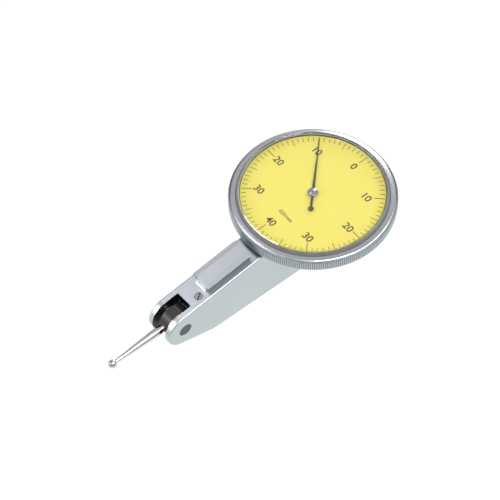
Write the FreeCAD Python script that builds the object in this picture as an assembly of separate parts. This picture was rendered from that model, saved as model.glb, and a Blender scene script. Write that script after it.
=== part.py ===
import FreeCAD, Part
import math
import os

# Lever-type dial test indicator with a large dial, in millimetres.
# The origin is the centre of the top dovetail's flat face. +X runs along the body towards the dial,
# the contact points to -X, and +Z is the dial's normal.

# Layout
dial_x = 26.5              # dovetail centre to the dial's axis
dial_z = 1.6               # dial head's reference plane above the dovetail centre
pivot_ahead = 13.8         # dovetail centre to the lever's pivot
contact_length = 17.2      # lever pivot to ball centre
top_slope = 5.56           # degrees, the body's top face rises towards the dial
under_slope = 3.8          # degrees, the underside falls towards the rear
nose_slope = 20.0          # degrees, the underside behind the nose
nose_radius = 4.5
knee_radius = 10.0
body_width = 7.3
body_depth = 19.35         # reference plane to underside, under the dial's axis
body_behind_dial = 18.2    # dial axis to the body's rear face
body_edge = 0.35           # rounding along the body's long edges

# Dovetail rails
rail_top_width = 5.34
rail_height = 2.12
rail_angle = 60.0          # degrees
rail_land = 0.22           # upright land under the top face's edge
rail_bevel_width = 1.2
rail_bevel_drop = 0.1
rail_root = 0.4            # how far a rail's foot reaches into the body
top_rail_length = 12.1
front_foot_radius = 1.0    # cutter radius at the front foot of the top rail
bottom_rail_length = 16.0
bottom_rail_behind = 5.0   # dial axis to the bottom rail's middle
rear_rail_length = 12.0
rear_rail_below = 11.0     # reference plane to the rear rail's middle

# Fork at the nose
fork_gap = 4.5
fork_window_back = 3.0     # pivot to the window's rear edge
fork_relief = 4.05         # radius cleared round the pivot
plug_radius = 1.65
plug_bore_depth = 1.05

# Pocket for the movement, open to the far side, and its cover
pocket_ahead_of_pivot = 7.9
pocket_behind_dial = 14.0
pocket_wall = 1.8          # roof and floor thickness
near_wall = 1.1
cover_thickness = 0.9
cover_rim = 0.9            # seat width above and below the pocket
cover_end_rim = 2.0        # seat width at the ends
cover_gap = 0.03
pocket_corner = 1.2
channel_height = 3.2       # passage of the lever arm from fork to pocket

# Screws
cover_screw_radius = 0.4
cover_screw_length = 2.2
cover_head_radius = 0.75
head_depth = 0.45
slot_width = 0.25
slot_depth = 0.2
fork_screw_radius = 1.0
fork_screw_length = 2.2
fork_screw_sunk = 0.25
fork_screw_behind = 5.7    # pivot to the fork screw
fork_screw_side = 1.57     # off the middle, to the near side
fork_screw_turn = 28.0     # degrees, the way its slot lies
case_screw_radius = 0.5
case_screw_inset = 5.5     # case's rim to its screws
thread_gap = 0.02

# Lever, clutch and contact
axle_radius = 0.6
journal_radius = 0.4
running_gap = 0.02         # radial clearance of every bearing
drum_radius = 3.5
drum_width = 2.95
drum_flat = 3.4            # pivot to the flat that the contact seats on
washer_radius = 3.9
washer_thickness = 0.4
spring_washer_radius = 1.6
spring_washer_thickness = 0.25
stack_gap = 0.05           # side clearance in the clutch stack
lever_thickness = 0.5
lever_hub_radius = 2.2
lever_arm_height = 1.6
drive_pin_radius = 0.4
drive_pin_gap = 0.03
ball_radius = 1.0
stem_tip_radius = 0.42
stem_shoulder_radius = 0.92
stem_shoulder_length = 1.6
stem_collar_radius = 1.05
stem_collar_length = 0.7
stem_spigot_radius = 0.7
stem_spigot_length = 2.0

# Gear train: lever, drive pin, sector, drive pinion, crown wheel, centre pinion
module = 0.15
sector_full_teeth = 288
sector_cut_teeth = 9
pinion_teeth = 12
crown_teeth = 60
lever_ratio = 1.125        # drive pin's distance from the lever's pivot over that from the sector's
addendum_share = 0.9       # of the module
dedendum_share = 1.2
tooth_share = 0.44         # of the pitch, on the pitch line
sector_thickness = 0.8
sector_face_y = -1.9       # near side of the sector plate
sector_rim = 1.3
sector_hub_radius = 1.3
sector_arm_width = 2.0
arbor_radius = 0.4
drive_pinion_width = 1.0
crown_face = 0.7
crown_disc_thickness = 0.5
crown_hub_radius = 1.1
crown_rim = 0.6
crown_spokes = 4
crown_spoke_width = 0.8
collet_radius = 0.75
collet_width = 0.5
collet_y = -0.6
spring_turns = 4
spring_outer_radius = 2.2
spring_strip = 0.06
spring_width = 0.35
stud_radius = 0.3
bush_radius = 1.0
bush_length = 0.8
bush_proud = 0.1
centre_arbor_radius = 0.35
centre_journal_radius = 0.28
centre_pinion_length = 1.0
bridge_thickness = 0.7
bridge_gap = 0.3           # pinion to bridge
bridge_boss_radius = 0.95
bridge_foot_length = 4.5
bridge_foot_height = 3.0
bridge_screw_radius = 0.4
bridge_screw_length = 1.4
jewel_radius = 0.7
case_jewel_radius = 1.0

# Dial case, bezel, dial, crystal and pointer, heights from the reference plane
seat_drop = 2.6            # down to the body's seat for the case
case_floor = 1.1
case_wall = 1.1
case_wall_drop = 1.2       # down to the top of the case's wall
bezel_radius = 19.0
bezel_wall = 2.0           # bezel's outside to the case's wall
bezel_drop = 2.19
bezel_crest = 0.86
bezel_bevel_width = 0.7    # bevel at the top of the knurled rim
bezel_bevel_drop = 0.45
crest_fall = 0.1           # the polished band falls outwards
crest_edge = 0.08
bezel_foot_bevel = 0.25
crystal_seat = 1.77        # bezel's outside to the bore for dial and crystal
ledge_width = 0.88         # shelf under the dial
ledge_thickness = 0.9
wire_radius = 0.22
wire_drop = 1.7
wire_gap = 0.04
wire_opening = 18.0        # degrees
dial_face = 0.25           # the printed face, up from the reference plane
dial_thickness = 0.4
dial_edge_gap = 0.03
dial_hole_radius = 0.9
seal_height = 0.15
seal_width = 0.5
crystal_wall = 0.6
crystal_shoulder = 0.9     # height of the skirt's upright part
crystal_edge = 1.85
crystal_draw = 0.45        # how far the crystal's top edge leans in
crystal_crown = 2.15
crystal_thickness = 1.0
crystal_inner_bevel = 0.4
crystal_bevel_height = 0.3
pointer_inset = 1.73       # crystal's bore to the pointer's tip
pointer_tail = 4.5
pointer_tail_radius = 0.62
pointer_root_width = 0.62
pointer_tip_width = 0.16
pointer_tail_width = 0.42
pointer_height = 0.3       # over the dial's face
pointer_thickness = 0.12
pointer_ring_radius = 0.95
pointer_angle = 42.5       # degrees from +X at rest
cap_radius = 1.2
cap_wall_height = 0.15
cap_dome_height = 0.24

# Places worked out from the sizes above
case_radius = bezel_radius - bezel_wall
crystal_bore = bezel_radius - crystal_seat
pointer_length = crystal_bore - pointer_inset
V = FreeCAD.Vector
X = V(1, 0, 0)
Y = V(0, 1, 0)
Z = V(0, 0, 1)
slope = math.radians(top_slope)
tilt = math.radians(nose_slope)
under = math.radians(under_slope)
side = body_width / 2
base_z = -rail_height / math.cos(slope)
pivot_x = -pivot_ahead
pivot_z = base_z - pivot_ahead * math.tan(slope) - nose_radius / math.cos(slope)
seat_z = dial_z - seat_drop
rear_x = dial_x + body_behind_dial
pocket_front = pivot_x + pocket_ahead_of_pivot
pocket_rear = dial_x + pocket_behind_dial
pocket_near = -side + near_wall
pocket_far = side - cover_thickness
fork_half = fork_gap / 2
sector_radius = module * sector_full_teeth / 2
pinion_radius = module * pinion_teeth / 2
crown_radius = module * crown_teeth / 2
addendum = module * addendum_share
dedendum = module * dedendum_share
sector_x = dial_x - sector_radius - pinion_radius
pin_reach = (sector_x - pivot_x) * lever_ratio / (1 + lever_ratio)
pin_x = pivot_x + pin_reach
crown_top_z = pivot_z + crown_radius
crown_tip_y = pinion_radius - addendum
crown_root_y = pinion_radius + dedendum
pinion_low_z = crown_top_z - centre_pinion_length / 2
bridge_top_z = pinion_low_z - bridge_gap
sector_back_y = sector_face_y + sector_thickness
washer_y = -fork_half + 2 * stack_gap
drum_y = washer_y + washer_thickness + stack_gap
spring_washer_y = drum_y + drum_width + stack_gap
lever_y = spring_washer_y + spring_washer_thickness + stack_gap
wire_z = dial_z - wire_drop
face_z = dial_z + dial_face
pointer_z = face_z + pointer_height


def top_z(x):
    return base_z + x * math.tan(slope)


def under_z(x):
    return dial_z - body_depth - (x - dial_x) * math.tan(under)


def nose_under_z(x):
    return pivot_z - nose_radius / math.cos(tilt) - (x - pivot_x) * math.tan(tilt)


def lowest_z(x):
    return max(under_z(x), nose_under_z(x))


# Where the underside bends, and where the top face meets the dial's seat
knee_x = (nose_under_z(0) - under_z(0)) / (math.tan(tilt) - math.tan(under))
shelf_x = (seat_z - base_z) / math.tan(slope)


def cylinder(radius, length, base, direction):
    return Part.makeCylinder(radius, length, V(*base), direction)


def tube(outer, inner, length, base, direction):
    return cylinder(outer, length, base, direction).cut(cylinder(inner, length, base, direction))


def prism_y(points, low, high):
    # A closed XZ outline carried from y = low to y = high.
    wire = Part.makePolygon([V(x, low, z) for x, z in points + points[:1]])
    return Part.Face(wire).extrude(V(0, high - low, 0))


def prism_z(points, low, high):
    # A closed XY outline carried from z = low to z = high.
    wire = Part.makePolygon([V(x, y, low) for x, y in points + points[:1]])
    return Part.Face(wire).extrude(V(0, 0, high - low))


def turned(profile):
    # A profile of (radius, height over the reference plane) turned round the dial's axis.
    wire = Part.makePolygon([V(dial_x + r, 0, dial_z + h) for r, h in profile + profile[:1]])
    return Part.Face(wire).revolve(V(dial_x, 0, 0), Z, 360)


def long_edges(shape, direction):
    found = []
    for edge in shape.Edges:
        if isinstance(edge.Curve, Part.Line) and abs(edge.tangentAt(0).dot(direction)) > 0.999:
            found.append(edge)
    return found


# Body

def body_profile():
    foot = V(pivot_x - nose_radius * math.sin(tilt), 0, pivot_z - nose_radius * math.cos(tilt))
    crest = V(pivot_x - nose_radius * math.sin(slope), 0, pivot_z + nose_radius * math.cos(slope))
    nose = V(pivot_x - nose_radius, 0, pivot_z)
    reach = knee_radius * math.tan((tilt - under) / 2)
    knee = V(knee_x, 0, under_z(knee_x))
    knee_start = knee - V(math.cos(tilt), 0, -math.sin(tilt)) * reach
    knee_end = knee + V(math.cos(under), 0, -math.sin(under)) * reach
    knee_mid = arc_middle(knee_start, knee_end, knee, (tilt - under) / 2)
    shelf = V(shelf_x, 0, seat_z)
    rear_top = V(rear_x, 0, seat_z)
    rear_foot = V(rear_x, 0, under_z(rear_x))
    edges = [
        Part.Arc(foot, nose, crest).toShape(),
        Part.LineSegment(crest, shelf).toShape(),
        Part.LineSegment(shelf, rear_top).toShape(),
        Part.LineSegment(rear_top, rear_foot).toShape(),
        Part.LineSegment(rear_foot, knee_end).toShape(),
        Part.Arc(knee_end, knee_mid, knee_start).toShape(),
        Part.LineSegment(knee_start, foot).toShape(),
    ]
    return Part.Wire(edges)


def arc_middle(start, end, corner, half_turn):
    # The arc that joins two lines bulges towards their corner by its sagitta.
    middle = (start + end) * 0.5
    outward = (corner - middle).normalize()
    return middle + outward * (knee_radius * (1 - math.cos(half_turn)))


def body_blank():
    face = Part.Face(body_profile())
    face.translate(V(0, -side, 0))
    blank = face.extrude(V(0, body_width, 0))
    rims = []
    for edge in blank.Edges:
        ends = [vertex.Point.y for vertex in edge.Vertexes]
        if max(ends) - min(ends) < 0.001:
            rims.append(edge)
    return blank.makeFillet(body_edge, rims)


def rail(length):
    # A dovetail rail along X whose flat face is centred on the origin and faces up.
    half = rail_top_width / 2
    neck = half - (rail_height - rail_land) / math.tan(math.radians(rail_angle))
    right = [
        (half - rail_bevel_width, 0),
        (half, -rail_bevel_drop),
        (half, -rail_bevel_drop - rail_land),
        (neck, -rail_height),
        (neck, -rail_height - rail_root),
    ]
    outline = right + [(-y, z) for y, z in reversed(right)]
    wire = Part.makePolygon([V(-length / 2, y, z) for y, z in outline + outline[:1]])
    return Part.Face(wire).extrude(V(length, 0, 0))


def top_rail():
    half = rail_top_width / 2
    neck = half - (rail_height - rail_land) / math.tan(math.radians(rail_angle))
    foot = Part.makeBox(front_foot_radius, 2 * neck, front_foot_radius)
    foot.translate(V(-top_rail_length / 2 - front_foot_radius, -neck, -rail_height))
    hollow = cylinder(front_foot_radius, 2 * neck, (0, 0, 0), Y)
    hollow.translate(V(-top_rail_length / 2 - front_foot_radius, -neck, front_foot_radius - rail_height))
    shape = rail(top_rail_length).fuse(foot.cut(hollow))
    shape.rotate(V(0, 0, 0), Y, -top_slope)
    return shape


def bottom_rail():
    shape = rail(bottom_rail_length)
    shape.rotate(V(0, 0, 0), X, 180)
    shape.rotate(V(0, 0, 0), Y, under_slope)
    x = dial_x + bottom_rail_behind
    drop = rail_height / math.cos(under)
    shape.translate(V(x, 0, under_z(x) - drop))
    return shape


def rear_rail():
    shape = rail(rear_rail_length)
    shape.rotate(V(0, 0, 0), Y, 90)
    shape.translate(V(rear_x + rail_height, 0, dial_z - rear_rail_below))
    return shape


def pocket_outline(rim, end_rim):
    # The pocket's outline, made larger by rim at the roof and floor and by end_rim at the ends.
    front = pocket_front - end_rim
    rear = pocket_rear + end_rim
    wall = pocket_wall - rim
    outline = [
        (front, top_z(front) - wall),
        (shelf_x, seat_z - wall),
        (rear, seat_z - wall),
        (rear, under_z(rear) + wall),
    ]
    if front < knee_x:
        outline.append((knee_x, under_z(knee_x) + wall))
    outline.append((front, lowest_z(front) + wall))
    return outline


def pocket():
    block = prism_y(pocket_outline(0, 0), pocket_near, side)
    return block.makeFillet(pocket_corner, long_edges(block, Y))


def cover_blank(gap):
    block = prism_y(pocket_outline(cover_rim - gap, cover_end_rim - gap), pocket_far, side)
    return block.makeFillet(pocket_corner + cover_rim - gap, long_edges(block, Y))


def cover_screw_places():
    inset = cover_head_radius + cover_screw_radius
    places = []
    for x in (pocket_front - cover_end_rim / 2, pocket_rear + cover_end_rim / 2):
        roof = min(top_z(x), seat_z) - pocket_wall - inset
        floor = lowest_z(x) + pocket_wall + inset
        places += [(x, roof), (x, floor)]
    return places


def case_screw_places():
    circle = case_radius - case_screw_inset
    return [(dial_x - circle, 0), (dial_x + circle, 0)]


def bush_places():
    return [sector_x, dial_x]


def fork_screw_top():
    x = pivot_x + fork_screw_behind
    return V(x, -fork_screw_side, top_z(x))


def top_normal():
    return V(-math.sin(slope), 0, math.cos(slope))


def fork_cut():
    window_back = pivot_x + fork_window_back
    front = pivot_x - 2 * nose_radius
    height = 4 * nose_radius
    window = Part.makeBox(window_back - front, fork_gap, height)
    window.translate(V(front, -fork_half, pivot_z - height / 2))
    relief = cylinder(fork_relief, fork_gap, (pivot_x, -fork_half, pivot_z), Y)
    channel = Part.makeBox(pocket_front - pivot_x + pocket_corner, lever_thickness + 6 * stack_gap, channel_height)
    channel.translate(V(pivot_x, lever_y - 3 * stack_gap, pivot_z - channel_height / 2))
    return window.fuse([relief, channel])


def body_housing():
    body = body_blank().fuse([top_rail(), bottom_rail(), rear_rail()]).removeSplitter()
    cuts = [fork_cut(), pocket(), cover_blank(0)]
    cuts.append(cylinder(plug_radius, body_width, (pivot_x, -side, pivot_z), Y))
    for x in bush_places():
        cuts.append(cylinder(bush_radius, bush_length, (x, pocket_near - bush_length + bush_proud, pivot_z), Y))
    for x, z in cover_screw_places():
        cuts.append(cylinder(cover_screw_radius + thread_gap, cover_screw_length,
                             (x, side - cover_screw_length, z), Y))
    for x, y in case_screw_places():
        cuts.append(cylinder(case_screw_radius + thread_gap, pocket_wall, (x, y, seat_z - pocket_wall), Z))
    hole = fork_screw_top() - top_normal() * (fork_screw_length + fork_screw_sunk)
    cuts.append(Part.makeCylinder(fork_screw_radius + thread_gap, 2 * fork_screw_length, hole, top_normal()))
    cuts.append(cylinder(case_jewel_radius, pocket_wall, (dial_x, 0, seat_z - pocket_wall), Z))
    x = bridge_screw_x()
    cuts.append(cylinder(bridge_screw_radius + thread_gap, near_wall - slot_depth,
                         (x, pocket_near - near_wall + slot_depth, bridge_screw_z()), Y))
    cuts.append(cylinder(stud_radius, near_wall / 2, (stud_x(), pocket_near - near_wall / 2, pivot_z), Y))
    return body.cut(cuts)


def side_cover():
    cover = cover_blank(cover_gap)
    cuts = []
    for x, z in cover_screw_places():
        cuts.append(cylinder(cover_screw_radius + thread_gap, body_width, (x, 0, z), Y))
        cuts.append(Part.makeCone(cover_screw_radius, cover_head_radius, head_depth,
                                  V(x, side - head_depth, z), Y))
    for x in bush_places():
        cuts.append(cylinder(bush_radius, bush_length - bush_proud, (x, pocket_far, pivot_z), Y))
    return cover.cut(cuts)


def screw(shank, length, head):
    # A countersunk screw along Z whose head's flat face is at the origin.
    cone = Part.makeCone(shank, head, head_depth, V(0, 0, -head_depth))
    body = cone.fuse(cylinder(shank, length, (0, 0, -length), Z))
    groove = Part.makeBox(2 * head, slot_width, slot_depth, V(-head, -slot_width / 2, -slot_depth))
    return body.cut(groove)


def cover_screws():
    solids = []
    for x, z in cover_screw_places():
        one = screw(cover_screw_radius, cover_screw_length, cover_head_radius)
        one.rotate(V(0, 0, 0), X, -90)
        one.translate(V(x, side, z))
        solids.append(one)
    return Part.makeCompound(solids)


def fork_screw():
    body = cylinder(fork_screw_radius, fork_screw_length, (0, 0, -fork_screw_length), Z)
    groove = Part.makeBox(2 * fork_screw_radius, slot_width, 2 * slot_depth,
                          V(-fork_screw_radius, -slot_width / 2, -2 * slot_depth))
    body = body.cut(groove)
    body.rotate(V(0, 0, 0), Z, fork_screw_turn)
    body.rotate(V(0, 0, 0), Y, -top_slope)
    body.translate(fork_screw_top() - top_normal() * fork_screw_sunk)
    return body


def pivot_plug(sign):
    # sign is -1 for the near ear and 1 for the far one
    inner = (pivot_x, sign * fork_half, pivot_z)
    plug = cylinder(plug_radius, side - fork_half, inner, Y * sign)
    return plug.cut(cylinder(journal_radius + running_gap, plug_bore_depth, inner, Y * sign))


def near_bush(x):
    return tube(bush_radius, arbor_radius + running_gap, bush_length,
                (x, pocket_near - bush_length + bush_proud, pivot_z), Y)


def far_bush(x):
    return tube(bush_radius, arbor_radius + running_gap, bush_length,
                (x, pocket_far - bush_proud, pivot_z), Y)


# Lever, clutch and contact

def pivot_axle():
    shaft = cylinder(axle_radius, fork_gap - 2 * stack_gap, (pivot_x, -fork_half + stack_gap, pivot_z), Y)
    reach = plug_bore_depth - stack_gap
    ends = cylinder(journal_radius, fork_gap + 2 * reach, (pivot_x, -fork_half - reach, pivot_z), Y)
    return shaft.fuse(ends)


def lever_arm():
    hub = cylinder(lever_hub_radius, lever_thickness, (pivot_x, lever_y, pivot_z), Y)
    half = lever_arm_height / 2
    bar = prism_y([
        (pivot_x, pivot_z - half),
        (pivot_x, pivot_z + half),
        (pin_x, pivot_z + half),
        (pin_x, pivot_z - half),
    ], lever_y, lever_y + lever_thickness)
    end = cylinder(half, lever_thickness, (pin_x, lever_y, pivot_z), Y)
    arm = hub.fuse([bar, end])
    return arm.cut([
        cylinder(axle_radius, fork_gap, (pivot_x, -fork_half, pivot_z), Y),
        cylinder(drive_pin_radius, fork_gap, (pin_x, lever_y, pivot_z), Y),
    ])


def drive_pin():
    low = sector_face_y - stack_gap
    return cylinder(drive_pin_radius, lever_y + lever_thickness - low, (pin_x, low, pivot_z), Y)


def friction_washer():
    return tube(washer_radius, axle_radius + running_gap, washer_thickness, (pivot_x, washer_y, pivot_z), Y)


def spring_washer():
    return tube(spring_washer_radius, axle_radius + running_gap, spring_washer_thickness,
                (pivot_x, spring_washer_y, pivot_z), Y)


def swivel_drum():
    drum = tube(drum_radius, axle_radius + running_gap, drum_width, (pivot_x, drum_y, pivot_z), Y)
    flat = Part.makeBox(drum_radius, drum_width, 2 * drum_radius)
    flat.translate(V(pivot_x - drum_flat - drum_radius, drum_y, pivot_z - drum_radius))
    socket = cylinder(stem_spigot_radius + thread_gap, stem_spigot_length,
                      (pivot_x - drum_flat + stem_spigot_length, 0, pivot_z), X * -1)
    return drum.cut([flat, socket])


def contact_stem():
    # Distances along the stem from the pivot, each with the stem's radius there.
    shoulder = drum_flat + stem_shoulder_length
    collar = shoulder + stem_collar_length
    profile = [
        (drum_flat - stem_spigot_length + thread_gap, 0),
        (drum_flat - stem_spigot_length + thread_gap, stem_spigot_radius),
        (drum_flat, stem_spigot_radius),
        (drum_flat, stem_shoulder_radius),
        (shoulder, stem_shoulder_radius),
        (shoulder, stem_collar_radius),
        (collar, stem_collar_radius),
        (contact_length - ball_radius / 2, stem_tip_radius),
        (contact_length - ball_radius / 2, 0),
    ]
    wire = Part.makePolygon([V(pivot_x - s, 0, pivot_z + r) for s, r in profile + profile[:1]])
    return Part.Face(wire).revolve(V(pivot_x, 0, pivot_z), X, 360)


def contact_ball():
    ball = Part.makeSphere(ball_radius, V(pivot_x - contact_length, 0, pivot_z))
    return ball.cut(contact_stem())


# Gear train

def tooth_points(teeth, radius, angle):
    # The four corners of one tooth that points along angle, as (distance, angle) pairs.
    pitch = 2 * math.pi / teeth
    flank = math.tan(math.radians(20))
    half = pitch * tooth_share / 2
    tip = half - addendum * flank / radius
    root = half + min(dedendum * flank / radius, pitch * 0.06)
    return [
        (radius - dedendum, angle - root),
        (radius + addendum, angle - tip),
        (radius + addendum, angle + tip),
        (radius - dedendum, angle + root),
    ]


def spur_outline(teeth, radius, phase):
    points = []
    for k in range(teeth):
        for r, a in tooth_points(teeth, radius, phase + k * 2 * math.pi / teeth):
            points.append((r * math.cos(a), r * math.sin(a)))
    return points


def sector_gear():
    pitch = 2 * math.pi / sector_full_teeth
    teeth = []
    reach = sector_cut_teeth // 2
    for k in range(-reach, reach + 1):
        for r, a in tooth_points(sector_full_teeth, sector_radius, k * pitch):
            teeth.append((sector_x + r * math.cos(a), pivot_z + r * math.sin(a)))
    edge = (reach + 0.6) * pitch
    rim = sector_radius - dedendum
    inner = rim - sector_rim
    half_arm = sector_arm_width / 2
    outline = [(sector_x + rim * math.cos(edge), pivot_z - rim * math.sin(edge))]
    outline += teeth
    outline += [
        (sector_x + rim * math.cos(edge), pivot_z + rim * math.sin(edge)),
        (sector_x + inner * math.cos(edge), pivot_z + inner * math.sin(edge)),
        (sector_x + sector_hub_radius, pivot_z + half_arm / 2),
        (sector_x, pivot_z + half_arm),
        (pin_x, pivot_z + half_arm),
        (pin_x, pivot_z - half_arm),
        (sector_x, pivot_z - half_arm),
        (sector_x + sector_hub_radius, pivot_z - half_arm / 2),
        (sector_x + inner * math.cos(edge), pivot_z - inner * math.sin(edge)),
    ]
    plate = prism_y(outline, sector_face_y, sector_back_y)
    hub = cylinder(sector_hub_radius, 2 * sector_thickness, (sector_x, sector_face_y, pivot_z), Y)
    end = cylinder(half_arm, sector_thickness, (pin_x, sector_face_y, pivot_z), Y)
    gap = drive_pin_radius + drive_pin_gap
    slot = Part.makeBox(2 * half_arm, sector_thickness, 2 * gap)
    slot.translate(V(pin_x - 2 * half_arm, sector_face_y, pivot_z - gap))
    round_end = cylinder(gap, sector_thickness, (pin_x, sector_face_y, pivot_z), Y)
    bore = cylinder(arbor_radius, body_width, (sector_x, -side, pivot_z), Y)
    return plate.fuse([hub, end]).cut([slot, round_end, bore])


def arbor(x):
    low = pocket_near - bush_length + 2 * bush_proud
    high = pocket_far + bush_length - 2 * bush_proud
    return cylinder(arbor_radius, high - low, (x, low, pivot_z), Y)


def drive_pinion():
    phase = math.pi / pinion_teeth
    outline = [(dial_x + x, pivot_z + z) for x, z in spur_outline(pinion_teeth, pinion_radius, phase)]
    middle = sector_face_y + sector_thickness / 2
    low = middle - drive_pinion_width / 2
    gear = prism_y(outline, low, low + drive_pinion_width)
    return gear.cut(cylinder(arbor_radius, body_width, (dial_x, -side, pivot_z), Y))


def crown_tooth(angle):
    # A radial tooth of the crown wheel that points to -Y, as two end faces joined.
    flank = math.tan(math.radians(20))
    pitch = 2 * math.pi / crown_teeth
    half = pitch * tooth_share / 2
    tip = half - addendum * flank / crown_radius
    root = half + dedendum * flank / crown_radius
    foot_y = crown_root_y + crown_disc_thickness / 2
    corners = [(root, foot_y), (root, crown_root_y), (tip, crown_tip_y),
               (-tip, crown_tip_y), (-root, crown_root_y), (-root, foot_y)]
    out = V(math.cos(angle), 0, math.sin(angle))
    along = V(-math.sin(angle), 0, math.cos(angle))
    centre = V(dial_x, 0, pivot_z)
    sections = []
    for r in (crown_radius - crown_face / 2, crown_radius + crown_face / 2):
        points = [centre + out * r + along * (r * a) + Y * y for a, y in corners]
        sections.append(Part.makePolygon(points + points[:1]))
    return Part.makeLoft(sections, True, True)


def crown_wheel():
    outer = crown_radius + crown_face / 2
    inner = crown_radius - crown_face / 2 - crown_rim
    base = (dial_x, crown_root_y, pivot_z)
    disc = tube(outer, inner, crown_disc_thickness, base, Y)
    hub = cylinder(crown_hub_radius, 2 * crown_disc_thickness, base, Y)
    spokes = []
    for k in range(crown_spokes):
        spoke = Part.makeBox(inner + crown_rim / 2, crown_disc_thickness, crown_spoke_width)
        spoke.translate(V(0, crown_root_y, -crown_spoke_width / 2))
        spoke.rotate(V(0, 0, 0), Y, k * 360 / crown_spokes)
        spoke.translate(V(dial_x, 0, pivot_z))
        spokes.append(spoke)
    pitch = 2 * math.pi / crown_teeth
    teeth = [crown_tooth(math.pi / 2 + (k + 0.5) * pitch) for k in range(crown_teeth)]
    wheel = disc.fuse([hub] + spokes).fuse(teeth)
    return wheel.cut(cylinder(arbor_radius, body_width, (dial_x, -side, pivot_z), Y))


def hairspring_collet():
    return tube(collet_radius, arbor_radius, collet_width, (dial_x, collet_y, pivot_z), Y)


def stud_x():
    return dial_x + spring_outer_radius + spring_strip / 2 + stud_radius


def hairspring():
    # A flat spiral strip from the collet to the stud.
    steps = 16 * spring_turns
    outer_edge = []
    inner_edge = []
    for k in range(steps + 1):
        share = k / steps
        angle = share * spring_turns * 2 * math.pi
        r = collet_radius + spring_strip + (spring_outer_radius - collet_radius - spring_strip) * share
        for offset, edge in ((spring_strip / 2, outer_edge), (-spring_strip / 2, inner_edge)):
            edge.append(V(dial_x + (r + offset) * math.cos(angle), collet_y, pivot_z + (r + offset) * math.sin(angle)))
    curves = []
    for edge in (outer_edge, inner_edge):
        curve = Part.BSplineCurve()
        curve.interpolate(edge)
        curves.append(curve.toShape())
    first = Part.makeLine(outer_edge[0], inner_edge[0])
    last = Part.makeLine(outer_edge[-1], inner_edge[-1])
    return Part.Face(Part.Wire([curves[0], last, curves[1], first])).extrude(V(0, spring_width, 0))


def hairspring_stud():
    low = pocket_near - near_wall / 2
    return cylinder(stud_radius, collet_y + spring_width - low, (stud_x(), low, pivot_z), Y)


def bridge_screw_x():
    return dial_x + bridge_foot_length - 2 * bridge_screw_radius


def bridge_screw_z():
    return bridge_top_z - bridge_foot_height / 2


def pinion_bridge():
    low = bridge_top_z - bridge_thickness
    left = dial_x - bridge_screw_radius
    right = dial_x + bridge_foot_length
    arm = prism_z([(left, pocket_near), (right, pocket_near), (right, -bridge_boss_radius),
                   (dial_x, bridge_boss_radius / 2), (left, 0)], low, bridge_top_z)
    boss = cylinder(bridge_boss_radius, bridge_thickness, (dial_x, 0, low), Z)
    foot = Part.makeBox(right - stud_x() + stud_radius, bridge_thickness, bridge_foot_height)
    foot.translate(V(stud_x() - stud_radius, pocket_near, bridge_top_z - bridge_foot_height))
    bridge = arm.fuse([boss, foot])
    return bridge.cut([
        cylinder(jewel_radius, bridge_thickness, (dial_x, 0, low), Z),
        cylinder(bridge_screw_radius + thread_gap, body_width, (bridge_screw_x(), -side, bridge_screw_z()), Y),
        cylinder(stud_radius + 0.3, body_width, (stud_x(), -side, pivot_z), Y),
    ])


def bridge_screw():
    base = (bridge_screw_x(), pocket_near + bridge_thickness - bridge_screw_length, bridge_screw_z())
    shank = cylinder(bridge_screw_radius, bridge_screw_length, base, Y)
    top = pocket_near + bridge_thickness
    head = cylinder(2 * bridge_screw_radius, 2 * slot_depth, (bridge_screw_x(), top, bridge_screw_z()), Y)
    groove = Part.makeBox(4 * bridge_screw_radius, slot_depth, slot_width)
    groove.translate(V(bridge_screw_x() - 2 * bridge_screw_radius, top + slot_depth, bridge_screw_z() - slot_width / 2))
    return shank.fuse(head).cut(groove)


def bridge_jewel():
    return tube(jewel_radius, centre_journal_radius + running_gap, bridge_thickness,
                (dial_x, 0, bridge_top_z - bridge_thickness), Z)


def case_jewel():
    height = case_floor + pocket_wall
    return tube(case_jewel_radius, centre_arbor_radius + running_gap, height,
                (dial_x, 0, seat_z - pocket_wall), Z)


def centre_pinion():
    phase = math.pi / 2
    outline = [(dial_x + x, y) for x, y in spur_outline(pinion_teeth, pinion_radius, phase)]
    gear = prism_z(outline, pinion_low_z, pinion_low_z + centre_pinion_length)
    return gear.cut(cylinder(centre_arbor_radius, body_depth, (dial_x, 0, dial_z - body_depth), Z))


def centre_arbor():
    low = bridge_top_z - bridge_thickness + stack_gap
    top = pointer_z + pointer_thickness + cap_wall_height
    thin = cylinder(centre_journal_radius, pinion_low_z - low, (dial_x, 0, low), Z)
    return thin.fuse(cylinder(centre_arbor_radius, top - pinion_low_z, (dial_x, 0, pinion_low_z), Z))


def case_screws():
    solids = []
    for x, y in case_screw_places():
        one = screw(case_screw_radius, case_floor + pocket_wall, 2 * case_screw_radius)
        one.translate(V(x, y, seat_z + case_floor))
        solids.append(one)
    return Part.makeCompound(solids)


# Dial case, bezel, dial, crystal and pointer

def dial_case():
    floor_top = case_floor - seat_drop
    inner = case_radius - case_wall
    case = turned([(0, -seat_drop), (case_radius, -seat_drop), (case_radius, -case_wall_drop),
                   (inner, -case_wall_drop), (inner, floor_top), (0, floor_top)])
    groove = Part.makeTorus(case_radius, wire_radius + wire_gap, V(dial_x, 0, wire_z), Z)
    cuts = [groove, cylinder(case_jewel_radius, case_floor, (dial_x, 0, seat_z), Z)]
    for x, y in case_screw_places():
        cuts.append(cylinder(case_screw_radius + thread_gap, case_floor, (x, y, seat_z), Z))
        cuts.append(Part.makeCone(case_screw_radius, 2 * case_screw_radius, head_depth,
                                  V(x, y, seat_z + case_floor - head_depth)))
    return case.cut(cuts)


def bezel_wire():
    ring = Part.makeTorus(case_radius, wire_radius, V(0, 0, 0), Z, 0, 360, 360 - wire_opening)
    ring.rotate(V(0, 0, 0), Z, wire_opening / 2)
    ring.translate(V(dial_x, 0, wire_z))
    return ring


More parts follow.
